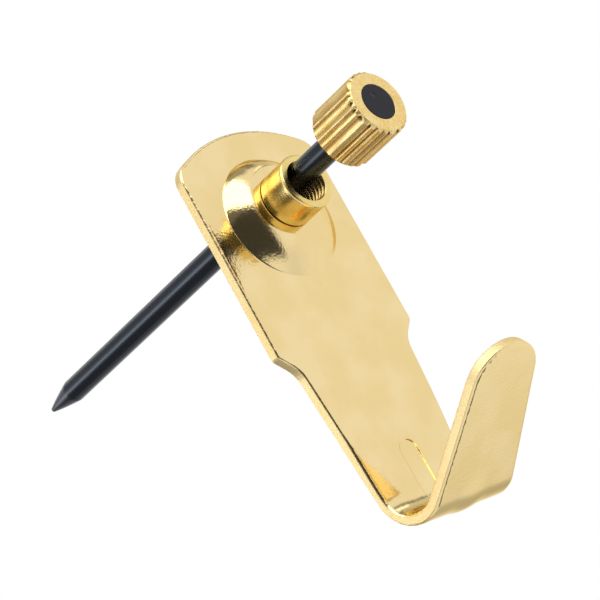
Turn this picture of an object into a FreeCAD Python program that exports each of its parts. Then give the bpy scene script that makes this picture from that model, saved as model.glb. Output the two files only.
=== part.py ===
import FreeCAD, Part
import math
import os

# Picture hook: a folded sheet plate, a threaded collar staked into its boss, a hardened nail and the nail's knurled cap.
# Millimetres. X is the width, +Z is up, the wall is the plane Y = 0 and the front looks along -Y.
# The origin is the point where the nail's axis goes into the wall.

# Sheet plate
sheet = 1.2
plate_width = 19.0
plate_crown = 8.2
arch_radius = 17.6
arch_corner = 2.7
shoulder_drop = 15.35
shoulder_slope = 45.0
shoulder_round = 0.8
waist_round = 3.0
shoulder_step = 1.85
strip_taper = 5.4
edge_break = 0.16

# Hook at the foot of the plate
bend_drop = 31.4
bend_radius = 2.75
tongue_lean = 55.3
tongue_length = 15.4
tongue_tip_radius = 7.0
tongue_corner = 2.4

# Bead pressed through the bend
bead_width = 2.5
bead_depth = 0.2
bead_wall = 0.4
bead_lead = 0.1
bead_rise = 4.8

# Boss drawn in the plate
boss_radius = 6.6
boss_drop = 1.75
boss_height = 1.8
boss_land = 3.65
boss_bulge = 0.08
boss_draw = 0.4

# Collar
collar_radius = 2.98
collar_height = 3.6
collar_lip = 0.28
bore_radius = 2.15
bore_mouth = 0.1
spigot_radius = 2.7
stake_radius = 3.05
stake_thickness = 0.5
stake_bevel = 0.2

# Nail
nail_radius = 1.3
nail_reach = 42.8
point_length = 4.6
point_tip = 0.2
point_bulge = 0.05
nail_head_radius = 1.9
nail_head_thickness = 1.3

# Knurled cap
cap_radius = 3.42
cap_length = 6.2
cap_standoff = 13.0
cap_chamfer = 0.3
knurl_count = 24
knurl_depth = 0.22
knurl_open = 0.6

# Clearances
nail_rest = 0.03
staking_clearance = 0.02
cap_press = 0.01

# How near an edge must lie to the place it is picked by
match = 0.005

# Places that follow from the sizes
plate_half = plate_width / 2
strip_half = plate_half - shoulder_step
boss_top = sheet + boss_height
collar_drop = bore_radius - nail_radius - nail_rest
collar_front = boss_top + collar_height
cap_front = cap_standoff + cap_length
bend_turn = 180.0 - tongue_lean
taper = math.tan(math.radians(strip_taper))
waist_drop = shoulder_drop + shoulder_step / math.tan(math.radians(shoulder_slope))
neutral_arc = (bend_radius + sheet / 2) * math.radians(bend_turn)

FRONT = FreeCAD.Vector(0, -1, 0)
ACROSS = FreeCAD.Vector(1, 0, 0)


def at(x, forward, z):
    """A point at so much in front of the wall."""
    return FreeCAD.Vector(x, -forward, z)


def polygon(points):
    return Part.makePolygon(points + points[:1])


def round_corners(points, radii):
    """A closed wire through the points, each corner rounded by its own radius (none where it is zero)."""
    edges = []
    previous = None
    first = None
    count = len(points)
    for i in range(count):
        corner = points[i]
        back = (points[i - 1] - corner).normalize()
        ahead = (points[(i + 1) % count] - corner).normalize()
        radius = radii[i]
        if radius > 0:
            half = back.getAngle(ahead) / 2
            run = radius / math.tan(half)
            middle = corner + (back + ahead).normalize() * (radius / math.sin(half) - radius)
            start = corner + back * run
            end = corner + ahead * run
        else:
            start = end = corner
        if previous is not None:
            edges.append(Part.LineSegment(previous, start).toShape())
        else:
            first = start
        if radius > 0:
            edges.append(Part.Arc(start, middle, end).toShape())
        previous = end
    edges.append(Part.LineSegment(previous, first).toShape())
    return Part.Wire(edges)


def prism(wire, direction, height):
    return Part.Face(wire).extrude(direction * height)


def turned(profile):
    """A solid turned about the nail's axis from (radius, forward) points and arcs already laid in the plane X, Y."""
    return Part.Face(Part.Wire(profile)).revolve(FreeCAD.Vector(0, 0, 0), FRONT, 360)


def turned_points(points):
    wire = polygon([at(radius, forward, 0) for radius, forward in points])
    return Part.Face(wire).revolve(FreeCAD.Vector(0, 0, 0), FRONT, 360)


def strip_half_width(below_waist):
    return strip_half - taper * below_waist


# Plate


def flat_plate():
    """The flat upper part: arched top, straight sides, shoulders and the tapering strip down to the bend."""
    bend_half = strip_half_width(bend_drop - waist_drop)
    side_top = plate_crown - arch_radius + math.sqrt(arch_radius ** 2 - plate_half ** 2)
    sheet_top = plate_crown + arch_corner
    outline = [
        at(plate_half, 0, sheet_top),
        at(plate_half, 0, -shoulder_drop),
        at(strip_half, 0, -waist_drop),
        at(bend_half, 0, -bend_drop),
        at(-bend_half, 0, -bend_drop),
        at(-strip_half, 0, -waist_drop),
        at(-plate_half, 0, -shoulder_drop),
        at(-plate_half, 0, sheet_top),
    ]
    radii = [0, shoulder_round, waist_round, 0, 0, waist_round, shoulder_round, 0]
    blank = prism(round_corners(outline, radii), FRONT, sheet)
    arch = Part.makeCylinder(arch_radius, sheet, at(0, 0, plate_crown - arch_radius), FRONT)
    below_arch = Part.makeBox(
        plate_width, sheet, bend_drop + side_top, at(-plate_half, sheet, -bend_drop)
    )
    blank = blank.common(arch.fuse(below_arch))
    corners = [
        edge for edge in blank.Edges
        if abs(edge.CenterOfMass.z - side_top) < match and abs(abs(edge.CenterOfMass.x) - plate_half) < match
    ]
    return blank.makeFillet(arch_corner, corners)


def bend_frame(angle):
    """Outward and along directions of the fold after turning so many degrees from the plate."""
    turn = math.radians(angle)
    outward = FreeCAD.Vector(0, math.cos(turn), -math.sin(turn))
    along = FreeCAD.Vector(0, -math.sin(turn), -math.cos(turn))
    return outward, along


bend_centre = at(0, sheet + bend_radius, -bend_drop)


def strip_section(angle, half):
    """The strip's rectangular section at an angle of the fold."""
    outward = bend_frame(angle)[0]
    inner = bend_centre + outward * bend_radius
    outer = bend_centre + outward * (bend_radius + sheet)
    return polygon([inner + ACROSS * half, inner - ACROSS * half, outer - ACROSS * half, outer + ACROSS * half])


def fold():
    """The bend, tapering from the plate's width to the tongue's."""
    start_half = strip_half_width(bend_drop - waist_drop)
    end_half = strip_half_width(bend_drop - waist_drop + neutral_arc)
    radius = bend_radius + sheet / 2
    places = [bend_centre + bend_frame(angle)[0] * radius for angle in (0, bend_turn / 2, bend_turn)]
    path = Part.Wire([Part.Arc(*places).toShape()])
    return path.makePipeShell([strip_section(0, start_half), strip_section(bend_turn, end_half)], True, True)


def tongue():
    """The straight tongue that leans forward and ends in a rounded tip."""
    outward, along = bend_frame(bend_turn)
    root = bend_centre + outward * bend_radius
    root_half = strip_half_width(bend_drop - waist_drop + neutral_arc)
    far = tongue_length + tongue_tip_radius
    far_half = root_half - taper * far
    corners = [
        root + ACROSS * root_half,
        root + ACROSS * far_half + along * far,
        root - ACROSS * far_half + along * far,
        root - ACROSS * root_half,
    ]
    blade = prism(polygon(corners), outward, sheet)
    tip_centre = root + along * (tongue_length - tongue_tip_radius)
    tip = Part.makeCylinder(tongue_tip_radius, sheet, tip_centre, outward)
    shank = prism(
        polygon([
            root + ACROSS * tongue_tip_radius,
            root + ACROSS * tongue_tip_radius + along * (tongue_length - tongue_tip_radius),
            root - ACROSS * tongue_tip_radius + along * (tongue_length - tongue_tip_radius),
            root - ACROSS * tongue_tip_radius,
        ]),
        outward,
        sheet,
    )
    blade = blade.common(tip.fuse(shank))
    tip_corners = []
    for edge in blade.Edges:
        span = edge.Vertexes[-1].Point - edge.Vertexes[0].Point
        through_sheet = abs(abs(span * outward) - edge.Length) < match
        beyond_middle = (edge.CenterOfMass - root) * along > tongue_length / 2
        if through_sheet and beyond_middle:
            tip_corners.append(edge)
    return blade.makeFillet(tongue_corner, tip_corners)


def boss_form(foot_radius, land_radius, base):
    """The boss's form under one of its skins, leaning so that its land is centred on the collar."""
    top = base + boss_height
    foot = at(foot_radius, base, 0)
    land = at(land_radius, top, 0)
    rise = (land - foot).normalize()
    bulge = (foot + land) * 0.5 + FreeCAD.Vector(-rise.y, rise.x, 0) * boss_bulge
    axis_foot = at(0, base, 0)
    axis_top = at(0, top, 0)
    body = turned([
        Part.LineSegment(axis_foot, foot).toShape(),
        Part.Arc(foot, bulge, land).toShape(),
        Part.LineSegment(land, axis_top).toShape(),
        Part.LineSegment(axis_top, axis_foot).toShape(),
    ])
    lean = (boss_drop - collar_drop) / boss_height
    shear = FreeCAD.Matrix(
        1, 0, 0, 0,
        0, 1, 0, 0,
        0, -lean, 1, -boss_drop - lean * base,
        0, 0, 0, 1,
    )
    return body.transformGeometry(shear)


def bead_form(face_depth):
    """The bead as a rod of trapezoid section with round ends, set into one face of the sheet.

    The face lies so deep from the inside of the fold. The rod starts clear of that face and widens as its walls do.
    """
    half_mouth = bead_width / 2 + bead_lead * bead_wall / bead_depth
    half_floor = bead_width / 2 - bead_wall
    reach = bend_radius + face_depth - bead_lead
    straight = bead_rise - bead_width / 2

    def section(angle, left_mouth, left_floor):
        outward = bend_frame(angle)[0]
        mouth = bend_centre + outward * reach
        floor = mouth + outward * (bead_lead + bead_depth)
        return Part.Face(polygon([
            mouth + ACROSS * half_mouth,
            floor + ACROSS * half_floor,
            floor - ACROSS * left_floor,
            mouth - ACROSS * left_mouth,
        ]))

    outward, along = bend_frame(0)
    upward = along * -straight
    run = section(0, half_mouth, half_floor).extrude(upward)
    upper_end = section(0, 0, 0).revolve(bend_centre, outward * -1, 180)
    upper_end.translate(upward)
    turn = section(0, half_mouth, half_floor).revolve(bend_centre, ACROSS * -1, bend_turn)
    lower_end = section(bend_turn, 0, 0).revolve(bend_centre, bend_frame(bend_turn)[0], 180)
    return run.fuse([upper_end, turn, lower_end]).removeSplitter()


def outline_edges(body):
    """The edges round the blank on both faces of the sheet, without the lines across the strip."""
    chosen = []
    for edge in body.Edges:
        span = edge.Vertexes[-1].Point - edge.Vertexes[0].Point
        straight = edge.Curve.TypeId == "Part::GeomLine"
        across_strip = straight and abs(abs(span.x) - edge.Length) < match
        through_sheet = straight and abs(edge.Length - sheet) < match
        if not across_strip and not through_sheet:
            chosen.append(edge)
    return chosen


def hook_plate():
    """The folded sheet: plate, bend and tongue, with the boss drawn forward and the bead pressed through the bend."""
    body = flat_plate().fuse([fold(), tongue()]).removeSplitter().Solids[0]
    body = body.makeChamfer(edge_break, outline_edges(body))
    body = body.fuse(boss_form(boss_radius, boss_land, sheet))
    body = body.cut(boss_form(boss_radius - boss_draw, boss_land - boss_draw, 0))
    eye = Part.makeCylinder(spigot_radius + staking_clearance, boss_top, at(0, 0, -collar_drop), FRONT)
    body = body.cut(eye)
    body = body.cut(bead_form(0)).fuse(bead_form(sheet))
    return body.removeSplitter().Solids[0]


# Collar


def threaded_collar():
    """Turned collar on the boss's land, its spigot staked over behind it, bored for the nail."""
    stake_back = boss_height - stake_thickness
    collar = turned_points([
        (bore_radius, stake_back),
        (stake_radius - stake_bevel, stake_back),
        (stake_radius, stake_back + stake_bevel),
        (stake_radius, boss_height),
        (spigot_radius, boss_height),
        (spigot_radius, boss_top),
        (collar_radius, boss_top),
        (collar_radius, collar_front),
        (bore_radius + bore_mouth, collar_front),
        (bore_radius, collar_front - bore_mouth),
    ])
    rim = [
        edge for edge in collar.Edges
        if abs(edge.CenterOfMass.y + collar_front) < match and abs(edge.BoundBox.XMax - collar_radius) < match
    ]
    collar = collar.makeFillet(collar_lip, rim)
    collar.translate(at(0, 0, -collar_drop))
    return collar


# Nail


def nail():
    """Hardened nail: ogive point behind the wall, plain shank and an upset head flush with the cap's front."""
    shoulder = point_length - nail_reach
    tip = -nail_reach
    belly = at((point_tip + nail_radius) / 2 + point_bulge, tip + point_length / 2, 0)
    neck = cap_front - nail_head_thickness
    corners = [
        at(0, tip, 0),
        at(point_tip, tip, 0),
        at(nail_radius, shoulder, 0),
        at(nail_radius, neck, 0),
        at(nail_head_radius, neck, 0),
        at(nail_head_radius, cap_front, 0),
        at(0, cap_front, 0),
    ]
    profile = []
    for i in range(len(corners)):
        start = corners[i]
        end = corners[(i + 1) % len(corners)]
        if i == 1:
            profile.append(Part.Arc(start, belly, end).toShape())
        else:
            profile.append(Part.LineSegment(start, end).toShape())
    return turned(profile)


# Cap


def knurled_cap():
    """Brass cap pressed on the nail under its head, chamfered at both ends, with straight V grooves round it."""
    bore = nail_radius + cap_press
    seat = nail_head_radius + cap_press
    neck = cap_front - nail_head_thickness
    cap = turned_points([
        (bore, cap_standoff),
        (cap_radius - cap_chamfer, cap_standoff),
        (cap_radius, cap_standoff + cap_chamfer),
        (cap_radius, cap_front - cap_chamfer),
        (cap_radius - cap_chamfer, cap_front),
        (seat, cap_front),
        (seat, neck),
        (bore, neck),
    ])
    # The wedge stands as far out of the cap as it cuts in, so it is twice as wide there as the groove's mouth
    wedge_corners = [
        at(cap_radius - knurl_depth, cap_standoff, 0),
        at(cap_radius + knurl_depth, cap_standoff, knurl_open),
        at(cap_radius + knurl_depth, cap_standoff, -knurl_open),
    ]
    wedge = prism(polygon(wedge_corners), FRONT, cap_length)
    grooves = []
    for i in range(knurl_count):
        groove = wedge.copy()
        groove.rotate(FreeCAD.Vector(0, 0, 0), FRONT, 360.0 * i / knurl_count)
        grooves.append(groove)
    return cap.cut(grooves)


os.makedirs("parts", exist_ok=True)
for name, make in (
    ("hook_plate", hook_plate),
    ("threaded_collar", threaded_collar),
    ("nail", nail),
    ("knurled_cap", knurled_cap),
):
    make().Solids[0].exportStep("parts/" + name + ".step")
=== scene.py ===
import math

import bmesh
import bpy
from mathutils import Matrix, Vector, noise
from mathutils.geometry import delaunay_2d_cdt


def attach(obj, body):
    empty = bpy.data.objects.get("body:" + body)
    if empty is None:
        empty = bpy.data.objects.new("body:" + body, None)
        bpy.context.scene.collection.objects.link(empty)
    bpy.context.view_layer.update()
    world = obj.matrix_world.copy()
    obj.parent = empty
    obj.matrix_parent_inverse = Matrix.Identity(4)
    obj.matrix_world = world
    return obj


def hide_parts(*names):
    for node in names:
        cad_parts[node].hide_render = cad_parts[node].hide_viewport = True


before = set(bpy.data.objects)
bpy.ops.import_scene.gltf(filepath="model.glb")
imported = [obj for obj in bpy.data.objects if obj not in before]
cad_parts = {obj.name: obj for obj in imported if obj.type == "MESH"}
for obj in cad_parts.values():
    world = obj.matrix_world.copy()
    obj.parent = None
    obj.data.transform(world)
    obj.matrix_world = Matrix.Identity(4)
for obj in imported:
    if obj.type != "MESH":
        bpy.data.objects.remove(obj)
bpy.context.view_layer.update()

# Picture hook: a folded sheet plate, a threaded collar in its boss, a black nail and its knurled cap.
# Sizes are in millimetres as the maker gives them, and become metres where a mesh is made.
MM = 0.001

# Sheet plate and its outline
sheet = 1.2
plate_half = 9.5
plate_crown = 8.2
arch_radius = 16.5
arch_corner = 2.2
arch_lean = 0.023
arch_lean_start = 3.0
shoulder_step = 1.85
shoulder_drop = 15.35
shoulder_round = 0.8
waist_round = 3.0
taper = math.tan(math.radians(5.4))
strip_half = plate_half - shoulder_step
waist_drop = shoulder_drop + shoulder_step

# Edges rolled over by the shear, and how closely the torn look keeps to the wall between them
roll_in = 0.46
roll_down = 0.22
roll_waver = 0.45
roll_grain = 2.6
sheared_power = 6

# Fold and tongue
bend_drop = 31.4
bend_radius = 2.75
bend_turn = math.radians(180.0 - 55.3)
neutral_radius = bend_radius + sheet / 2
tongue_start = bend_drop + neutral_radius * bend_turn
tongue_length = 15.4
tongue_tip_radius = 5.0
tongue_corner = 3.4
blank_end = tongue_start + tongue_length

# Bead through the bend
bead_half = 1.25
bead_floor = 1.05
bead_depth = 0.095
bead_top = bend_drop - 3.55
bead_foot = tongue_start

# Soft ridge behind the bead
back_ridge_half = 2.4
back_ridge_height = 0.2
back_ridge_full = bend_drop + 1.5
back_ridge_fade = bead_foot - 3.0
back_ridge_end = bead_foot + 2.5

# Fall of the front's side edges towards the bend
fall_start = 23.5
fall_full = 30.8
fall_fade = 33.0
fall_end = 37.0
fall_width = 2.4
fall_depth = 0.24
fall_power = 1.25

# Boss
boss_radius = 6.6
boss_drop = 1.75
boss_height = 1.8
boss_land = 3.95
boss_bulge = 0.20
boss_draw = 0.4
boss_top = sheet + boss_height
foot_round = 0.36
land_round = 0.9
eye_radius = 2.72
eye_margin = 0.3

# Collar
collar_drop = 0.82
collar_radius = 2.98
collar_front = boss_top + 3.6
collar_lip = 0.26
collar_seam = 0.20
bore_radius = 2.15
bore_mouth = 0.1
mouth_round = 0.05
spigot_radius = 2.7
stake_radius = 3.05
stake_round = 0.15
stake_back = boss_height - 0.5
thread_pitch = 0.52
thread_depth = 0.26

# Nail
nail_radius = 1.3
nail_reach = 42.8
point_length = 4.6
point_tip = 0.27
point_flat = 0.6
point_crown = 0.02
point_bulge = 0.05
head_radius = 1.9
head_thickness = 1.3
head_edge = 0.1
head_under = 0.05
punch_place = (-0.13, 0.78)
punch_radius = 0.17
punch_depth = 0.11

# Knurled cap
cap_radius = 3.42
cap_back = 13.0
cap_front = 19.2
cap_chamfer = 0.3
cap_face_round = 0.08
cap_side_round = 0.1
cap_bore = nail_radius + 0.01
cap_seat = head_radius + 0.02
seat_round = 0.05
knurl_count = 24
knurl_depth = 0.30
knurl_deepest = 0.93 * cap_chamfer
knurl_unevenness = 1.0
knurl_seed = 4.0
notch_length = 0.8

# Divisions of the meshes: longest runs in millimetres, and numbers of steps
outline_run = 0.2
collar_run = 0.3
thread_run = 0.045
nail_run = 2.0
cap_run = 0.35
round_steps = 8
arch_steps = 40
arch_corner_steps = 20
shoulder_steps = 10
waist_steps = 16
tongue_corner_steps = 18
tongue_tip_steps = 24
strip_columns = 26
rows_lead = 0.5
rows_above = 20
rows_in_bend = 72
rows_below = 9
row_below = 0.4
bead_end_steps = 20
bead_wall_steps = 8
roll_steps = 10
boss_segments = 192
boss_wall_steps = 18
boss_foot_steps = 7
boss_land_steps = 6
collar_segments = 160
point_steps = 28
head_rings = 26
nail_segments = 128
segments_per_ridge = 24


# Node trees

class Wire:
    """A socket that takes part in plain arithmetic: each operator adds one Math node."""

    def __init__(self, graph, socket):
        self.graph = graph
        self.socket = socket

    def __add__(self, other):
        return self.graph.math("ADD", self, other)

    def __radd__(self, other):
        return self.graph.math("ADD", other, self)

    def __sub__(self, other):
        return self.graph.math("SUBTRACT", self, other)

    def __rsub__(self, other):
        return self.graph.math("SUBTRACT", other, self)

    def __mul__(self, other):
        return self.graph.math("MULTIPLY", self, other)

    def __rmul__(self, other):
        return self.graph.math("MULTIPLY", other, self)

    def __truediv__(self, other):
        return self.graph.math("DIVIDE", self, other)

    def __rtruediv__(self, other):
        return self.graph.math("DIVIDE", other, self)


class Graph:
    """A shader, world or geometry tree, with one method that makes any node."""

    def __init__(self, tree):
        self.tree = tree

    def node(self, kind, settings=None, inputs=None):
        made = self.tree.nodes.new(kind)
        for name, value in (settings or {}).items():
            setattr(made, name, value)
        for name, value in (inputs or {}).items():
            if isinstance(value, Wire):
                self.tree.links.new(value.socket, made.inputs[name])
            else:
                made.inputs[name].default_value = value
        return made

    def wire(self, kind, output, settings=None, inputs=None):
        return Wire(self, self.node(kind, settings, inputs).outputs[output])

    def math(self, operation, first, second=0.0, third=0.0):
        return self.wire("ShaderNodeMath", 0, {"operation": operation}, {0: first, 1: second, 2: third})

    def step(self, value, low, high, start=0.0, end=1.0):
        """A soft step from start to end as the value goes from low to high."""
        return self.wire(
            "ShaderNodeMapRange", 0, {"interpolation_type": "SMOOTHSTEP"},
            {0: value, 1: low, 2: high, 3: start, 4: end},
        )

    def split(self, vector):
        made = self.node("ShaderNodeSeparateXYZ", None, {0: vector})
        return [Wire(self, socket) for socket in made.outputs]

    def join(self, x, y, z):
        return self.wire("ShaderNodeCombineXYZ", 0, None, {0: x, 1: y, 2: z})

    def noise(self, vector, scale, detail=2.0, roughness=0.5):
        return self.wire(
            "ShaderNodeTexNoise", "Fac", None,
            {"Vector": vector, "Scale": scale, "Detail": detail, "Roughness": roughness},
        )

    def fine_noise(self, vector, scale=1.0):
        return self.noise(vector, scale, 3.0, 0.6)

    def blend(self, share, first, second):
        """A mix of two colours."""
        return self.wire("ShaderNodeMix", 2, {"data_type": "RGBA"}, {0: share, 6: first, 7: second})


def new_tree(name, sizes):
    """A geometry tree with named sizes: its graph and the wires of its inputs."""
    tree = bpy.data.node_groups.new(name, "GeometryNodeTree")
    tree.interface.new_socket("Geometry", in_out="INPUT", socket_type="NodeSocketGeometry")
    for size in sizes:
        tree.interface.new_socket(size, in_out="INPUT", socket_type="NodeSocketFloat")
    tree.interface.new_socket("Geometry", in_out="OUTPUT", socket_type="NodeSocketGeometry")
    graph = Graph(tree)
    given = {socket.name: Wire(graph, socket) for socket in graph.node("NodeGroupInput").outputs}
    return graph, given


def finish_tree(graph, given, moved, material):
    """The end of each geometry tree: points in their new places, real meshes and their finish."""
    shaped = graph.wire(
        "GeometryNodeSetPosition", 0, None, {"Geometry": given["Geometry"], "Position": moved}
    )
    real = graph.wire("GeometryNodeRealizeInstances", 0, None, {"Geometry": shaped})
    done = graph.wire("GeometryNodeSetMaterial", 0, None, {"Geometry": real, "Material": material})
    graph.node("NodeGroupOutput", None, {"Geometry": done})
    return graph.tree


# Flat shapes

def eased(value, low, high):
    """A soft step from 0 at low to 1 at high."""
    t = min(max((value - low) / (high - low), 0.0), 1.0)
    return t * t * (3 - 2 * t)


def fillet(before, corner, after, radius, steps):
    """The points of an arc that rounds a corner between two neighbours."""
    before = (before - corner).normalized()
    after = (after - corner).normalized()
    half = before.angle(after) / 2
    run = radius / math.tan(half)
    centre = corner + (before + after).normalized() * (radius / math.sin(half))
    start = corner + before * run - centre
    end = corner + after * run - centre
    return [centre + start.slerp(end, i / steps) * radius for i in range(steps + 1)]


def rounded(corners):
    """A line through (x, y, radius) corners, each rounded where its radius isn't zero.

    The first and last corners end the line, so their radius is zero.
    """
    points = [Vector(corner[:2]) for corner in corners]
    line = []
    for i, (point, corner) in enumerate(zip(points, corners)):
        radius = corner[2]
        if radius:
            line += fillet(points[i - 1], point, points[i + 1], radius, round_steps)
        else:
            line.append(point)
    return line


def arc(centre, radius, start, end, steps):
    turns = [start + (end - start) * i / steps for i in range(steps + 1)]
    return [Vector((centre[0] + radius * math.cos(t), centre[1] + radius * math.sin(t))) for t in turns]


def bowed(start, end, bulge, steps):
    """A shallow arc between two points that stands out to the right of the way by the bulge."""
    side = (end - start).normalized()
    side = Vector((side.y, -side.x))
    line = []
    for i in range(steps + 1):
        t = i / steps
        line.append(start.lerp(end, t) + side * bulge * 4 * t * (1 - t))
    return line


def divided(line, longest):
    """The same line with its long runs split."""
    out = [line[0]]
    for point in line[1:]:
        parts = max(1, math.ceil((point - out[-1]).length / longest))
        start = out[-1]
        out += [start.lerp(point, i / parts) for i in range(1, parts + 1)]
    return out


# Meshes

def make_piece(name, points, faces, material, marks=None):
    """An object at the origin from points in millimetres, closed, facing outwards and smooth.

    Marks name a value for each point, which the finish can read.
    """
    mesh = bpy.data.meshes.new(name)
    mesh.from_pydata([Vector(point) * MM for point in points], [], faces)
    for mark, values in (marks or {}).items():
        mesh.attributes.new(mark, "FLOAT", "POINT").data.foreach_set("value", values)
    shape = bmesh.new()
    shape.from_mesh(mesh)
    bmesh.ops.remove_doubles(shape, verts=shape.verts, dist=1e-8)
    bmesh.ops.recalc_face_normals(shape, faces=shape.faces)
    for face in shape.faces:
        face.smooth = True
    shape.to_mesh(mesh)
    shape.free()
    mesh.materials.append(material)
    piece = bpy.data.objects.new(name, mesh)
    bpy.context.collection.objects.link(piece)
    return piece


def weigh_normals(piece):
    """Lets wide flats keep their flat shading beside narrow rounds."""
    weigh = piece.modifiers.new("weighted_normals", "WEIGHTED_NORMAL")
    weigh.mode = "FACE_AREA"
    weigh.weight = 50
    weigh.keep_sharp = False


def turned_piece(name, line, segments, material, drop=0.0, closed=True):
    """A piece turned about the nail's direction from (radius, forward) points."""
    points = []
    rings = []
    for radius, forward in line:
        if radius < 1e-6:
            rings.append([len(points)] * segments)
            points.append((0.0, -forward, -drop))
            continue
        rings.append([len(points) + i for i in range(segments)])
        for i in range(segments):
            turn = 2 * math.pi * i / segments
            points.append((radius * math.cos(turn), -forward, radius * math.sin(turn) - drop))
    faces = []
    pairs = list(zip(rings, rings[1:]))
    if closed:
        pairs.append((rings[-1], rings[0]))
    for near, far in pairs:
        for i in range(segments):
            j = (i + 1) % segments
            corners = dict.fromkeys((near[i], near[j], far[j], far[i]))
            if len(corners) > 2:
                faces.append(list(corners))
    return make_piece(name, points, faces, material)


def apply_nodes(piece, tree, values):
    """Runs a geometry tree on a piece with its named inputs and keeps the result as a plain mesh."""
    run = piece.modifiers.new(tree.name, "NODES")
    run.node_group = tree
    for socket in tree.interface.items_tree:
        if socket.in_out == "INPUT" and socket.name in values:
            run[socket.identifier] = values[socket.name]
    ready = piece.evaluated_get(bpy.context.evaluated_depsgraph_get())
    mesh = bpy.data.meshes.new_from_object(ready)
    piece.modifiers.clear()
    piece.data = mesh
    mesh.name = piece.name


# Finishes

plain_white = (1, 1, 1, 1)
warm_grazing = (0.93, 0.82, 0.58, 1)
plating_deep = (0.824, 0.640, 0.306, 1)
plating_pale = (0.862, 0.688, 0.362, 1)
collar_deep = (0.790, 0.595, 0.200, 1)
collar_pale = (0.860, 0.680, 0.280, 1)
cap_deep = (0.790, 0.540, 0.170, 1)
cap_pale = (0.940, 0.760, 0.390, 1)
# Painted shade: the seam brown darkens the seam at the boss, and the bore brown darkens the inside of the
# bore
seam_shade_brown = (0.230, 0.080, 0.018, 1)
bore_shade_brown = (0.340, 0.180, 0.055, 1)
# Painted shade: this brown darkens the cap's grooves, and it also colours the cap's real scratches
groove_shade_and_scratch_brown = (0.380, 0.205, 0.045, 1)
# Painted shade and painted dark reflection: this black darkens the notches just behind the cap's front
notch_shade_black = (0.070, 0.040, 0.012, 1)
shank_dark = (0.040, 0.046, 0.056, 1)
shank_light = (0.056, 0.064, 0.078, 1)
head_dark = (0.033, 0.032, 0.038, 1)

# Turned brass: least roughness, change of the lengthways lines along the axis, strength of its relief
collar_rough = 0.15
collar_along = 0.6
collar_relief = 0.50
cap_rough = 0.30
cap_along = 0.3
cap_relief = 0.95

# Scales of the patterns, counted to the millimetre
plating_clouds = 0.22
plating_peel = 1.6
plating_grain = 3.6
plating_tears = 3.6
turned_rings = 9.0
turned_grain = 9.0
turned_clouds = 0.5
steel_drawn = 7.0
steel_along = 0.25
steel_grain = 7.0

# Plating: roughness of the bare mirror and what each pattern adds, then each pattern's height in the relief
mirror_rough = 0.08
cloud_rough = 0.05
grain_rough = 0.03
torn_rough = 0.30
tear_rough = 0.16
peel_height = 0.2
grain_height = 0.4
tear_height = 0.9
plating_relief = 0.5
plating_relief_depth = 0.05

# Turned brass: how fast its patterns change round the axis and across it, and what they add
ring_turn = 0.35
line_turn = 22.0
line_across = 2.0
ring_rough = 0.10
brass_grain_rough = 0.06
turned_relief_depth = 0.03

# Painted shade on turned brass in the seam, bore and grooves, painted shade and dark reflection in the
# notches, and real scratches: each pair is where one starts and is full, in millimetres or in a pattern's
# value
tint_range = (0.36, 0.64)
seam_range = (0.16, 0.04)
seam_share = 0.8
bore_skin = (0.35, 0.20)
bore_start = (0.05, 0.40)
bore_share = 0.6
face_edge = (0.02, 0.10)
groove_range = (0.06, 0.26)
groove_waver = 0.16
scratch_range = (0.57, 0.64)
scratch_start = (0.1, 0.4)
scratch_share = 0.45
notch_range = (0.05, 0.14)
notch_reach = (0.75, 0.35)
notch_clouds = (0.44, 0.54)
notch_share = 0.9

# Blued steel
steel_rough = 0.15
drawn_rough = 0.10
steel_grain_rough = 0.06
head_rough = 0.10
steel_relief = 0.16
steel_relief_depth = 0.03


def metal(name, grazing=plain_white):
    """A new metal finish, with its tint at grazing sight.

    Gives the finish, its graph, its shader and the object's coordinates in millimetres.
    """
    material = bpy.data.materials.new(name)
    material.use_nodes = True
    graph = Graph(material.node_tree)
    shader = material.node_tree.nodes["Principled BSDF"]
    shader.inputs["Metallic"].default_value = 1.0
    shader.inputs["Specular Tint"].default_value = grazing
    place = graph.wire("ShaderNodeTexCoord", "Object")
    place = graph.wire("ShaderNodeVectorMath", 0, {"operation": "SCALE"}, {0: place, "Scale": 1 / MM})
    return material, graph, shader, place


def feed(graph, shader, **sockets):
    for name, wire in sockets.items():
        graph.tree.links.new(wire.socket, shader.inputs[name.replace("_", " ")])


def bump(graph, height, strength, distance):
    return graph.wire(
        "ShaderNodeBump", "Normal", None,
        {"Height": height, "Strength": strength, "Distance": distance * MM},
    )


def plated_brass():
    """Bright pale brass plating: nearly a mirror, with a fine peel, dull clouds and torn edges."""
    material, graph, shader, place = metal("plated_brass", warm_grazing)
    sheared = graph.wire("ShaderNodeAttribute", "Fac", {"attribute_name": "sheared"})
    clouds = graph.noise(place, plating_clouds, 3.0)
    peel = graph.noise(place, plating_peel)
    grain = graph.noise(place, plating_grain, 1.5)
    tears = graph.noise(place, plating_tears, 4.0, 0.7)
    torn = sheared * (torn_rough + tear_rough * tears)
    relief = peel * peel_height + grain * grain_height + tears * sheared * tear_height
    feed(
        graph, shader,
        Base_Color=graph.blend(graph.step(clouds, 0.35, 0.65), plating_deep, plating_pale),
        Roughness=mirror_rough + cloud_rough * clouds + grain_rough * grain + torn,
        Normal=bump(graph, relief, plating_relief, plating_relief_depth),
    )
    return material


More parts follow.
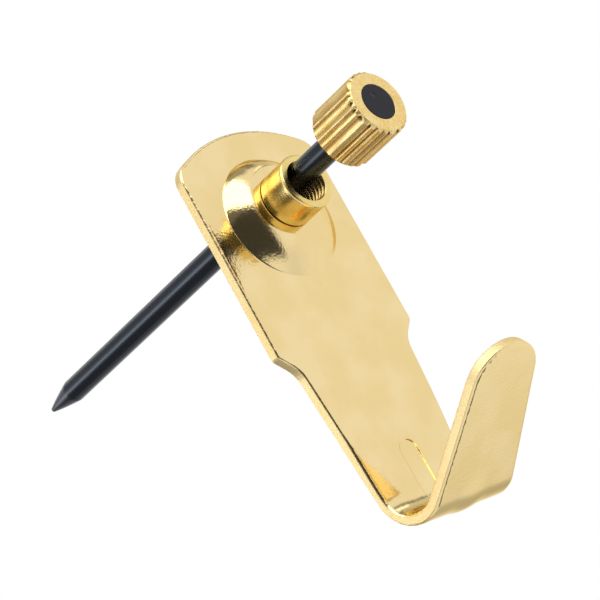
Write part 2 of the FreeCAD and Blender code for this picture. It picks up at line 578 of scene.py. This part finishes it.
def turned_brass(name, drop, deep, pale, rough, along, relief, knurled=False):
    """Solid brass off the lathe: rings round the axis, a little deeper than the plating.

    A knurled piece also has painted shade as brown in its grooves, real brown scratches, and painted shade
    and dark reflection as black notches behind its front.
    """
    material, graph, shader, place = metal(name, warm_grazing)
    x, y, z = graph.split(place)
    up = z + drop
    radius = graph.math("SQRT", x * x + up * up)
    turn = graph.math("ARCTAN2", up, x)
    rings = graph.fine_noise(graph.join(turn * ring_turn, y * turned_rings, radius * turned_rings))
    lines = graph.fine_noise(graph.join(turn * line_turn, y * along, radius * line_across))
    grain = graph.fine_noise(place, turned_grain)
    clouds = graph.noise(place, turned_clouds)
    mottle = clouds * 0.3 + grain * 0.3 + lines * 0.4
    tint = graph.blend(graph.step(mottle, *tint_range), deep, pale)
    # Painted shade: brown in the seam at the boss, and brown inside the bore
    off_seam = graph.math("ABSOLUTE", y + boss_top)
    seam = graph.step(off_seam, seam_range[1], seam_range[0], seam_share, 0.0)
    tint = graph.blend(seam, tint, seam_shade_brown)
    in_bore = graph.step(radius, bore_radius + bore_skin[0], bore_radius + bore_skin[1])
    in_bore = in_bore * graph.step(y, bore_start[0] - collar_front, bore_start[1] - collar_front)
    tint = graph.blend(in_bore * bore_share, tint, bore_shade_brown)
    if knurled:
        # Painted shade: brown in the grooves away from the front face, then real brown scratches along the
        # ridges
        behind = y + cap_front
        plain = cap_radius - graph.math("MAXIMUM", cap_chamfer - behind, 0.0)
        sunk = plain - radius + groove_waver * (lines - 0.5)
        behind_face = graph.step(behind, *face_edge)
        tint = graph.blend(graph.step(sunk, *groove_range) * behind_face, tint, groove_shade_and_scratch_brown)
        scratch = graph.step(lines, *scratch_range) * graph.step(behind, *scratch_start)
        tint = graph.blend(scratch * scratch_share, tint, groove_shade_and_scratch_brown)
        # Painted shade and painted dark reflection: black at the ends of some deep grooves just behind the
        # front
        notch = graph.step(sunk, *notch_range) * graph.step(behind, *notch_reach) * behind_face
        notch = notch * graph.step(clouds, *notch_clouds)
        tint = graph.blend(notch * notch_share, tint, notch_shade_black)
    feed(
        graph, shader,
        Base_Color=tint,
        Roughness=rough + ring_rough * rings + brass_grain_rough * grain,
        Normal=bump(graph, rings * 0.4 + lines * 0.5 + grain * 0.3, relief, turned_relief_depth),
    )
    return material


def blued_steel():
    """Hardened steel, blue-black oxide: glossy on the drawn shank, duller on the head's cut face."""
    material, graph, shader, place = metal("blued_steel")
    x, y, z = graph.split(place)
    drawn = graph.fine_noise(graph.join(x * steel_drawn, y * steel_along, z * steel_drawn))
    grain = graph.fine_noise(place, steel_grain)
    face = graph.step(y, 0.1 - cap_front, 0.02 - cap_front)
    shank = graph.blend(graph.step(grain, 0.3, 0.7), shank_dark, shank_light)
    feed(
        graph, shader,
        Base_Color=graph.blend(face, shank, head_dark),
        Roughness=steel_rough + drawn_rough * drawn + steel_grain_rough * grain + head_rough * face,
        Normal=bump(graph, drawn * 0.6 + grain * 0.4, steel_relief, steel_relief_depth),
    )
    return material


brass_sheet = plated_brass()
brass_collar = turned_brass(
    "turned_brass", collar_drop, collar_deep, collar_pale, collar_rough, collar_along, collar_relief
)
brass_cap = turned_brass(
    "turned_brass_cap", 0.0, cap_deep, cap_pale, cap_rough, cap_along, cap_relief, knurled=True
)
black_steel = blued_steel()


# Plate

def sheet_point(x, s, height):
    """A point of the folded sheet: x across the blank, s down its strip, height above its back."""
    if s <= bend_drop:
        return Vector((x, -height, -s))
    turn = min((s - bend_drop) / neutral_radius, bend_turn)
    outward = Vector((0, math.cos(turn), -math.sin(turn)))
    along = Vector((0, -math.sin(turn), -math.cos(turn)))
    centre = Vector((x, -(sheet + bend_radius), -bend_drop))
    return centre + outward * (bend_radius + sheet - height) + along * max(0.0, s - tongue_start)


def strip_side(s):
    return strip_half - taper * (s - waist_drop)


def strip_rows():
    """Heights of the rows that divide the strip: close in the bend and wider above and below it."""
    lead = bend_drop - fall_start + rows_lead
    rows = [fall_start - rows_lead + lead * i / rows_above for i in range(rows_above)]
    fold = tongue_start - bend_drop
    rows += [bend_drop + fold * i / rows_in_bend for i in range(rows_in_bend + 1)]
    rows += [tongue_start + row_below * i for i in range(1, rows_below + 1)]
    return rows


def corner_on_arc(start, direction, outward, centre, radius, corner):
    """Where a round of the corner's radius meets a straight side and, from within, an arc."""
    line = start - outward * corner - centre
    half = line.dot(direction)
    way = -half + math.sqrt(half * half - line.dot(line) + (radius - corner) ** 2)
    middle = start - outward * corner + direction * way
    return middle, middle + outward * corner, centre + (middle - centre).normalized() * radius


def blank_outline(rows):
    """The blank's outline, down its right side from the crown to the tip and up the left."""
    arch_centre = Vector((0, arch_radius - plate_crown))
    middle, on_side, on_arch = corner_on_arc(
        Vector((plate_half, 0)), Vector((0, -1)), Vector((1, 0)), arch_centre, arch_radius, arch_corner
    )
    arch_end = math.atan2(on_arch.y - arch_centre.y, on_arch.x)
    right = arc(arch_centre, arch_radius, -math.pi / 2, arch_end, arch_steps)
    right += arc(middle, arch_corner, arch_end, 0.0, arch_corner_steps)[1:]
    side = Vector((-taper, 1)).normalized()
    side_out = Vector((side.y, -side.x))
    waist = Vector((strip_half, waist_drop))
    shoulder = Vector((plate_half, shoulder_drop))
    strip_foot = waist + side * bend_drop
    right += fillet(on_side, shoulder, waist, shoulder_round, shoulder_steps)
    right += fillet(shoulder, waist, strip_foot, waist_round, waist_steps)
    strip = [Vector((strip_side(s), s)) for s in rows]
    right = divided(right + strip[:1], outline_run) + strip[1:]
    tip_centre = Vector((0, blank_end - tongue_tip_radius))
    middle, on_side, on_tip = corner_on_arc(
        waist, side, side_out, tip_centre, tongue_tip_radius, tongue_corner
    )
    turn = math.atan2(on_side.y - middle.y, on_side.x - middle.x)
    tip_turn = math.atan2(on_tip.y - tip_centre.y, on_tip.x)
    tip = arc(middle, tongue_corner, turn, tip_turn, tongue_corner_steps)
    tip += arc(tip_centre, tongue_tip_radius, tip_turn, math.pi / 2, tongue_tip_steps)[1:]
    right += divided(right[-1:] + tip, outline_run)[1:]
    left = [Vector((-point.x, point.y)) for point in reversed(right[1:-1])]
    loop = right + left
    for point in loop:
        point.y -= arch_lean * point.x * eased(-point.y, 0.0, arch_lean_start)
    return loop


def outward_normals(loop):
    """Normals of a flat loop that runs down its right side."""
    normals = []
    for i, point in enumerate(loop):
        before = (point - loop[i - 1]).normalized()
        after = (loop[(i + 1) % len(loop)] - point).normalized()
        way = (before + after).normalized()
        normals.append(Vector((way.y, -way.x)))
    return normals


def front_dip(x, s):
    """How far the front lies below its plain level: the bead, and the side edges' fall at the bend."""
    off = Vector((x, s - min(max(s, bead_top), bead_foot))).length
    dip = bead_depth * eased(bead_half - off, 0.0, bead_half - bead_floor)
    share = eased(s, fall_start, fall_full) * (1 - eased(s, fall_fade, fall_end))
    if share > 0:
        across = (abs(x) - strip_side(s)) / (fall_width * share) + 1
        dip += fall_depth * share * min(max(across, 0.0), 1.0) ** fall_power
    return dip


def back_rise(x, s):
    """How far the soft ridge behind the bead stands out of the back face."""
    share = eased(s, bead_top, back_ridge_full) * (1 - eased(s, back_ridge_fade, back_ridge_end))
    return back_ridge_height * share * eased(back_ridge_half - abs(x), 0.0, back_ridge_half)


def bead_loop(off):
    upper = arc((0, bead_top), off, math.pi, 2 * math.pi, bead_end_steps)
    lower = arc((0, bead_foot), off, 0.0, math.pi, bead_end_steps)
    return upper + lower


def boss_loop(radius, height, base):
    """A ring of the boss in the blank, leaning so that its land is centred on the collar."""
    lean = (boss_drop - collar_drop) / boss_height
    drop = boss_drop - lean * (height - base)
    turns = [2 * math.pi * i / boss_segments for i in range(boss_segments)]
    return [Vector((radius * math.cos(t), drop + radius * math.sin(t))) for t in turns]


def boss_rings(foot, land, base):
    """(radius, height) rings of one skin of the boss, from the flat sheet up to the eye."""
    top = base + boss_height
    wall = bowed(Vector((foot, base)), Vector((land, top)), boss_bulge, boss_wall_steps)
    outside = Vector((foot + 1.0, base))
    inside = Vector((eye_radius, top))
    rings = fillet(outside, wall[0], wall[2], foot_round, boss_foot_steps)
    rings += wall[2:-1]
    rings += fillet(wall[-2], wall[-1], inside, land_round, boss_land_steps)
    rings.append(Vector((eye_radius + eye_margin, top)))
    rings.append(inside)
    return rings


def plate_piece():
    """The folded sheet with rolled edges, drawn boss and pressed bead, as one closed skin."""
    same_place = 1e-6
    snap = 1e-7
    hole_margin = 0.9995
    rows = strip_rows()
    outline = blank_outline(rows)
    normals = outward_normals(outline)
    wavers = [1 + roll_waver * noise.noise(Vector((*point, 0)) * roll_grain) for point in outline]
    inset = [point - normal * roll_in * waver for point, normal, waver in zip(outline, normals, wavers)]
    rim_count = len(outline)
    first_row = next(
        i for i, point in enumerate(outline)
        if abs(point.y - rows[0]) < same_place and point.x > 0
    )
    points = []
    faces = []
    sheared = []

    def add_point(flat, height, mark=0.0):
        points.append(sheet_point(flat.x, flat.y, height))
        sheared.append(mark)

    def level(flat, front):
        if front:
            return sheet - front_dip(flat.x, flat.y)
        return -back_rise(flat.x, flat.y)

    def face_skin(hole, front):
        """One face of the sheet as triangles round the boss's hole: the indices of its two rims."""
        flat = list(inset) + list(hole)
        edges = [(i, (i + 1) % rim_count) for i in range(rim_count)]
        edges += [(rim_count + i, rim_count + (i + 1) % len(hole)) for i in range(len(hole))]
        for k in range(len(rows)):
            right = first_row + k
            left = rim_count - first_row - k
            line = [right]
            for i in range(1, strip_columns):
                line.append(len(flat))
                flat.append(inset[right].lerp(inset[left], i / strip_columns))
            line.append(left)
            edges += zip(line, line[1:])
        if front:
            for k in range(bead_wall_steps + 1):
                loop = bead_loop(bead_half + (bead_floor - bead_half) * k / bead_wall_steps)
                start = len(flat)
                flat += loop
                edges += [(start + i, start + (i + 1) % len(loop)) for i in range(len(loop))]
        found, _, triangles, origin, _, _ = delaunay_2d_cdt(flat, edges, [], 1, snap)
        start = len(points)
        for point in found:
            add_point(point, level(point, front))
        hole_middle = sum(hole, Vector((0, 0))) / len(hole)
        hole_radius = (hole[0] - hole_middle).length
        for triangle in triangles:
            middle = sum((found[i] for i in triangle), Vector((0, 0))) / 3
            if (middle - hole_middle).length > hole_radius * hole_margin:
                corners = [start + i for i in triangle]
                faces.append(corners[::-1] if front else corners)
        place = {}
        for index, sources in enumerate(origin):
            for source in sources:
                place[source] = start + index
        rim = [place[i] for i in range(rim_count)]
        hole_rim = [place[rim_count + i] for i in range(len(hole))]
        return rim, hole_rim

    front = boss_rings(boss_radius, boss_land, sheet)
    back = boss_rings(boss_radius - boss_draw, boss_land - boss_draw, 0.0)
    front_rim, front_foot = face_skin(boss_loop(front[0].x, sheet, sheet), True)
    back_rim, back_foot = face_skin(boss_loop(back[0].x, 0.0, 0.0), False)

    def join(loops):
        for first, second in zip(loops, loops[1:]):
            for i in range(len(first)):
                j = (i + 1) % len(first)
                faces.append((first[i], first[j], second[j], second[i]))

    def new_loop(flat, heights, mark=0.0):
        start = len(points)
        for point, height in zip(flat, heights):
            add_point(point, height, mark)
        return list(range(start, len(points)))

    def boss_skin(rings, base):
        return [new_loop(boss_loop(ring.x, ring.y, base), [ring.y] * boss_segments) for ring in rings]

    # Edge all round the blank: rolled over from both faces, with the sheared wall between
    rolls = [math.pi / 2 * k / roll_steps for k in range(1, roll_steps + 1)]
    rim_loops = [front_rim]
    for front_side, turns in ((True, rolls), (False, rolls[::-1])):
        for turn in turns:
            flat = [
                point - normal * roll_in * waver * (1 - math.sin(turn))
                for point, normal, waver in zip(outline, normals, wavers)
            ]
            down = roll_down * (1 - math.cos(turn)) * (-1 if front_side else 1)
            heights = [level(point, front_side) + down for point in flat]
            rim_loops.append(new_loop(flat, heights, math.sin(turn) ** sheared_power))
    join(rim_loops + [back_rim])

    # Boss, front skin up to the eye and back skin down from it
    boss_loops = [front_foot]
    boss_loops += boss_skin(front[1:], sheet)
    boss_loops += boss_skin(reversed(back[1:]), 0.0)
    join(boss_loops + [back_foot])
    piece = make_piece("hook_plate_sheet", points, faces, brass_sheet, {"sheared": sheared})
    weigh_normals(piece)
    return piece


# Collar

# Whole turns added so that the angle round the axis stays above zero
turns_ahead = 100.0


def thread_tree(material):
    """Geometry tree that cuts a spiral V groove into the bore of a turned piece."""
    crest = 0.12
    root = 0.95
    graph, given = new_tree("cut_thread", ("Bore", "Mouth", "Pitch", "Depth", "Drop"))
    x, y, z = graph.split(graph.wire("GeometryNodeInputPosition", 0))
    up = z + given["Drop"]
    radius = graph.math("SQRT", x * x + up * up)
    turn = graph.math("ARCTAN2", up, x) / (2 * math.pi)
    phase = graph.math("FRACT", y / given["Pitch"] + turn + turns_ahead)
    saw = graph.math("ABSOLUTE", phase * 2.0 - 1.0)
    cut = given["Bore"] + given["Depth"] * graph.step(saw, crest, root)
    in_bore = graph.math("LESS_THAN", radius, given["Mouth"])
    grown = graph.math("MAXIMUM", radius, cut)
    share = 1.0 + in_bore * (grown / radius - 1.0)
    moved = graph.join(x * share, y, up * share - given["Drop"])
    return finish_tree(graph, given, moved, material)


def collar_piece():
    """Turned collar: rounded lip, countersunk mouth, threaded bore and staked spigot behind the boss."""
    line = rounded([
        (bore_radius, stake_back, 0.0),
        (stake_radius, stake_back, stake_round),
        (stake_radius, boss_height, 0.0),
        (spigot_radius, boss_height, 0.0),
        (spigot_radius, boss_top, 0.0),
        (collar_radius, boss_top, collar_seam),
        (collar_radius, collar_front, collar_lip),
        (bore_radius + bore_mouth, collar_front, mouth_round),
        (bore_radius, collar_front - bore_mouth, 0.0),
    ])
    bore = divided([line[-1], line[0]], thread_run)[1:-1]
    line = divided(line, collar_run) + bore
    piece = turned_piece("collar_turned", line, collar_segments, brass_collar, collar_drop)
    apply_nodes(piece, thread_tree(brass_collar), {
        "Bore": bore_radius * MM,
        "Mouth": (bore_radius + 0.5 * bore_mouth) * MM,
        "Pitch": thread_pitch * MM,
        "Depth": thread_depth * MM,
        "Drop": collar_drop * MM,
    })
    weigh_normals(piece)
    return piece


# Nail

def nail_piece():
    """Nail with an ogive point, a plain shank and an upset head that carries a small punched mark."""
    shank_lead = 0.3
    face_share = 0.9
    face_margin = 0.02
    tip = Vector((point_tip, -nail_reach))
    shoulder = Vector((nail_radius, point_length - nail_reach))
    neck = cap_front - head_thickness
    line = [Vector((0, -nail_reach - point_crown)), Vector((point_tip * point_flat, -nail_reach))]
    line += bowed(tip, shoulder, point_bulge, point_steps)
    line += [Vector((nail_radius, shoulder.y + shank_lead)), Vector((nail_radius, neck))]
    line += rounded([
        (nail_radius, neck, 0.0),
        (head_radius, neck, head_under),
        (head_radius, cap_front, head_edge),
        (0.0, cap_front, 0.0),
    ])[1:-1]
    line = line[:2] + divided(line[2:], nail_run)
    for i in range(head_rings):
        line.append(Vector((head_radius * face_share * (1 - i / head_rings), cap_front)))
    line.append(Vector((0, cap_front)))
    piece = turned_piece("nail_blued", line, nail_segments, black_steel, closed=False)
    for vertex in piece.data.vertices:
        if vertex.co.y < -(cap_front - face_margin) * MM:
            off = math.hypot(vertex.co.x / MM - punch_place[0], vertex.co.z / MM - punch_place[1])
            vertex.co.y += punch_depth * MM * math.exp(-((off / punch_radius) ** 2))
    weigh_normals(piece)
    return piece


# Cap

def knurl_tree(material):
    """Geometry tree that presses uneven straight grooves into the side of a turned piece."""
    slow_waves = 5.0
    slow_wander = 0.05
    quick_waves = 11.0
    quick_wander = 0.03
    least_width = 0.62
    more_width = 0.38
    least_depth = 0.55
    more_depth = 0.80
    width_shift = 3.7
    depth_shift = 11.3
    groove_power = 1.4
    axis_guard = 1e-6
    sizes = ("Radius", "Ridges", "Depth", "Unevenness", "Seed", "Front", "Notch", "Deepest")
    graph, given = new_tree("press_knurl", sizes)
    x, y, z = graph.split(graph.wire("GeometryNodeInputPosition", 0))
    radius = graph.math("SQRT", x * x + z * z)
    turn = graph.math("ARCTAN2", z, x)
    wander = graph.math("SINE", turn * slow_waves + given["Seed"]) * slow_wander
    wander = wander + graph.math("SINE", turn * quick_waves + 2.0 * given["Seed"]) * quick_wander
    place = (turn + wander * given["Unevenness"]) * given["Ridges"] / (2 * math.pi) + turns_ahead
    number = graph.math("FLOOR", place)

    def chance(shift):
        """A seeded value for each groove."""
        return graph.wire(
            "ShaderNodeTexWhiteNoise", "Value", {"noise_dimensions": "1D"},
            {"W": graph.math("MODULO", number, given["Ridges"]) + given["Seed"] + shift},
        )

    off = graph.math("ABSOLUTE", place - number - 0.5) * 2.0
    width = least_width + more_width * chance(width_shift) * given["Unevenness"]
    deep = given["Depth"] * (least_depth + more_depth * chance(depth_shift) * given["Unevenness"])
    from_front = (y + given["Front"]) / given["Notch"]
    deep = deep * (1.0 + graph.step(from_front, 1.0, 0.0))
    deep = graph.math("MINIMUM", deep, given["Deepest"])
    groove = graph.math("POWER", graph.math("MAXIMUM", 1.0 - off / width, 0.0), groove_power)
    floor = given["Radius"] - deep * groove
    pressed = graph.math("MINIMUM", radius, floor)
    share = pressed / graph.math("MAXIMUM", radius, axis_guard)
    moved = graph.join(x * share, y, z * share)
    return finish_tree(graph, given, moved, material)


def cap_piece():
    """Knurled brass cap: chamfered at both ends, bored for the nail and sunk for its head."""
    neck = cap_front - head_thickness
    line = rounded([
        (cap_bore, cap_back, 0.0),
        (cap_radius - cap_chamfer, cap_back, cap_face_round),
        (cap_radius, cap_back + cap_chamfer, cap_side_round),
        (cap_radius, cap_front - cap_chamfer, cap_side_round),
        (cap_radius - cap_chamfer, cap_front, cap_face_round),
        (cap_seat, cap_front, seat_round),
        (cap_seat, neck, 0.0),
        (cap_bore, neck, 0.0),
    ])
    line = divided(line, cap_run)
    piece = turned_piece("cap_knurled", line, segments_per_ridge * knurl_count, brass_cap)
    apply_nodes(piece, knurl_tree(brass_cap), {
        "Radius": cap_radius * MM,
        "Ridges": float(knurl_count),
        "Depth": knurl_depth * MM,
        "Unevenness": knurl_unevenness,
        "Seed": knurl_seed,
        "Front": cap_front * MM,
        "Notch": notch_length * MM,
        "Deepest": knurl_deepest * MM,
    })
    weigh_normals(piece)
    return piece


for piece, node, slot in (
    (plate_piece(), "hook_plate", "plated_brass"),
    (collar_piece(), "threaded_collar", "turned_brass"),
    (nail_piece(), "nail", "blued_steel"),
    (cap_piece(), "knurled_cap", "turned_brass"),
):
    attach(piece, "root")
    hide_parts(node)


# Studio

# Bright windows round the hook: strength above white, then left, right, low, high and soft edge in degrees
bright_windows = (
    (1.9, (-80, 9, 22, 86, 4)),
    (2.0, (-165, -104, -3, 9, 3)),
    (0.9, (48, 72, 45, 51, 2)),
)

# Dark cards round the hook: share of the light that each takes, then its sides as above
dark_cards = (
    (0.30, (62, 112, 38, 64, 8)),
    (0.62, (70, 138, 54, 64, 3)),
    (0.60, (36, 190, 64, 96, 6)),
    (0.42, (104, 150, -56, -18, 14)),
    (0.60, (40, 73, 36, 43.5, 2)),
    (0.80, (36, 102, -68, -51.5, 2)),
    (0.16, (16, 44, -56, -24, 14)),
    (0.70, (108, 150, 20, 44, 5)),
    (0.45, (-190, -118, 22, 62, 7)),
    (0.74, (-190, -92, -60, -10, 4)),
    (0.45, (150, 190, -60, -13, 7)),
)

# Large dark card in front: its upper right is cut by two slanting sides that meet at the corner
front_share = 0.948
front_sides = (-62, 26, -29, 52, 4)
front_corner = (2.0, 17.0)
front_top_slope = 0.45
front_side_slope = 0.35

# Distances of the cards in metres, and the degrees that one face of a card takes
card_reach = 3.0
window_reach = 3.2
card_gap = 0.05
card_step = 3.0


def studio_world():
    """Plain white surroundings, the same for every ray."""
    world = bpy.data.worlds.new("studio")
    world.use_nodes = True
    bpy.context.scene.world = world
    graph = Graph(world.node_tree)
    world.node_tree.nodes.clear()
    back = graph.wire("ShaderNodeBackground", 0, None, {"Color": plain_white, "Strength": 1.0})
    graph.node("ShaderNodeOutputWorld", None, {"Surface": back})


def above(graph, value, limit, soft):
    """1 above a limit and 0 below it, with a soft edge."""
    return graph.step(value, limit - soft, limit + soft)


def below(graph, value, limit, soft):
    """1 below a limit and 0 above it, with a soft edge."""
    return graph.step(value, limit - soft, limit + soft, 1.0, 0.0)


def card_mesh(name, sides, reach):
    """A card as a piece of a sphere round the hook."""
    left, right, low, high, soft = sides
    left = max(left - soft, -180.0)
    right = min(right + soft, 180.0)
    low = max(low - soft, -90.0)
    high = min(high + soft, 90.0)
    columns = math.ceil((right - left) / card_step)
    rows = math.ceil((high - low) / card_step)
    points = []
    for j in range(rows + 1):
        up = math.radians(low + (high - low) * j / rows)
        for i in range(columns + 1):
            turn = math.radians(left + (right - left) * i / columns)
            flat = reach * math.cos(up)
            points.append((flat * math.sin(turn), -flat * math.cos(turn), reach * math.sin(up)))
    wide = columns + 1
    faces = [
        (j * wide + i, j * wide + i + 1, (j + 1) * wide + i + 1, (j + 1) * wide + i)
        for j in range(rows) for i in range(columns)
    ]
    mesh = bpy.data.meshes.new(name)
    mesh.from_pydata(points, [], faces)
    return mesh


def studio_card(name, sides, reach, share, strength, slanted=False):
    """A card that reflections see and the camera doesn't: dark with no strength, a window with some."""
    material = bpy.data.materials.new(name)
    material.use_nodes = True
    material.node_tree.nodes.clear()
    graph = Graph(material.node_tree)
    x, y, z = graph.split(graph.wire("ShaderNodeTexCoord", "Object"))
    round_deg = graph.math("ARCTAN2", x, 0.0 - y) * (180 / math.pi)
    up_deg = graph.math("ARCTAN2", z, graph.math("SQRT", x * x + y * y)) * (180 / math.pi)
    left, right, low, high, soft = sides
    if slanted:
        over_top = up_deg - front_corner[1] + front_top_slope * (round_deg - front_corner[0])
        over_side = round_deg - front_corner[0] + front_side_slope * (up_deg - front_corner[1])
        inside = below(graph, over_top, 0.0, soft) * below(graph, over_side, 0.0, soft)
        inside = inside * above(graph, round_deg, left, soft) * above(graph, up_deg, low, soft)
    else:
        across = above(graph, round_deg, left, soft) * below(graph, round_deg, right, soft)
        inside = across * (above(graph, up_deg, low, soft) * below(graph, up_deg, high, soft))
    clear = graph.wire("ShaderNodeBsdfTransparent", 0)
    light = graph.wire("ShaderNodeEmission", 0, None, {"Color": plain_white, "Strength": strength})
    surface = graph.wire("ShaderNodeMixShader", 0, None, {0: inside * share, 1: clear, 2: light})
    graph.node("ShaderNodeOutputMaterial", None, {"Surface": surface})
    mesh = card_mesh(name, sides, reach)
    mesh.materials.append(material)
    card = bpy.data.objects.new(name, mesh)
    bpy.context.collection.objects.link(card)
    card.visible_camera = False


def studio_cards():
    """All windows and cards, each dark card a little nearer than the one before."""
    for number, (more, sides) in enumerate(bright_windows):
        studio_card(f"studio_window_{number}", sides, window_reach, 1.0, 1.0 + more)
    for number, (share, sides) in enumerate(dark_cards):
        studio_card(f"studio_card_{number}", sides, card_reach - card_gap * number, share, 0.0)
    studio_card("studio_card_front", front_sides, card_reach + card_gap, front_share, 0.0, True)


def studio_floor():
    """A pale floor well below the hook: nearly white to the camera and to reflections."""
    floor_pale = (0.93, 0.93, 0.92, 1)
    floor_rough = 0.8
    floor_white = 0.9
    floor_drop = 0.6
    floor_half = 0.12
    material = bpy.data.materials.new("pale_floor")
    material.use_nodes = True
    graph = Graph(material.node_tree)
    shader = material.node_tree.nodes["Principled BSDF"]
    shader.inputs["Base Color"].default_value = floor_pale
    shader.inputs["Roughness"].default_value = floor_rough
    mesh = bpy.data.meshes.new("studio_floor")
    corners = [(-1, -1), (1, -1), (1, 1), (-1, 1)]
    points = [(a * floor_half, b * floor_half, -floor_drop) for a, b in corners]
    mesh.from_pydata(points, [], [(0, 1, 2, 3)])
    mesh.materials.append(material)
    floor = bpy.data.objects.new("studio_floor", mesh)
    bpy.context.collection.objects.link(floor)
    glow = graph.wire("ShaderNodeEmission", 0, None, {"Color": plain_white, "Strength": 1.0})
    rays = graph.node("ShaderNodeLightPath").outputs
    camera, glossy, through = (
        Wire(graph, rays[name]) for name in ("Is Camera Ray", "Is Glossy Ray", "Is Transmission Ray")
    )
    seen = graph.math("MAXIMUM", graph.math("MAXIMUM", camera, glossy), through)
    surface = graph.wire(
        "ShaderNodeMixShader", 0, None,
        {0: seen * floor_white, 1: Wire(graph, shader.outputs[0]), 2: glow},
    )
    output = material.node_tree.nodes["Material Output"]
    graph.tree.links.new(surface.socket, output.inputs["Surface"])


def photo_camera():
    """The camera that the photograph was taken with, as fitted to the plate's edges."""
    right = Vector((0.684639, -0.555428, -0.471984))
    up = Vector((0.187980, -0.491088, 0.850586))
    toward = Vector((-0.704225, -0.671068, -0.231809))
    place = Vector((-157.678, -148.417, -61.309)) * MM
    camera = bpy.data.objects.new("camera", bpy.data.cameras.new("camera"))
    camera.matrix_world = Matrix((
        (right.x, up.x, toward.x, place.x),
        (right.y, up.y, toward.y, place.y),
        (right.z, up.z, toward.z, place.z),
        (0, 0, 0, 1),
    ))
    camera.data.sensor_width = 36.0
    camera.data.lens = 137.805
    camera.data.clip_start = 0.005
    bpy.context.collection.objects.link(camera)
    bpy.context.scene.camera = camera


studio_world()
studio_cards()
studio_floor()
photo_camera()
bpy.context.scene.view_settings.view_transform = "Standard"
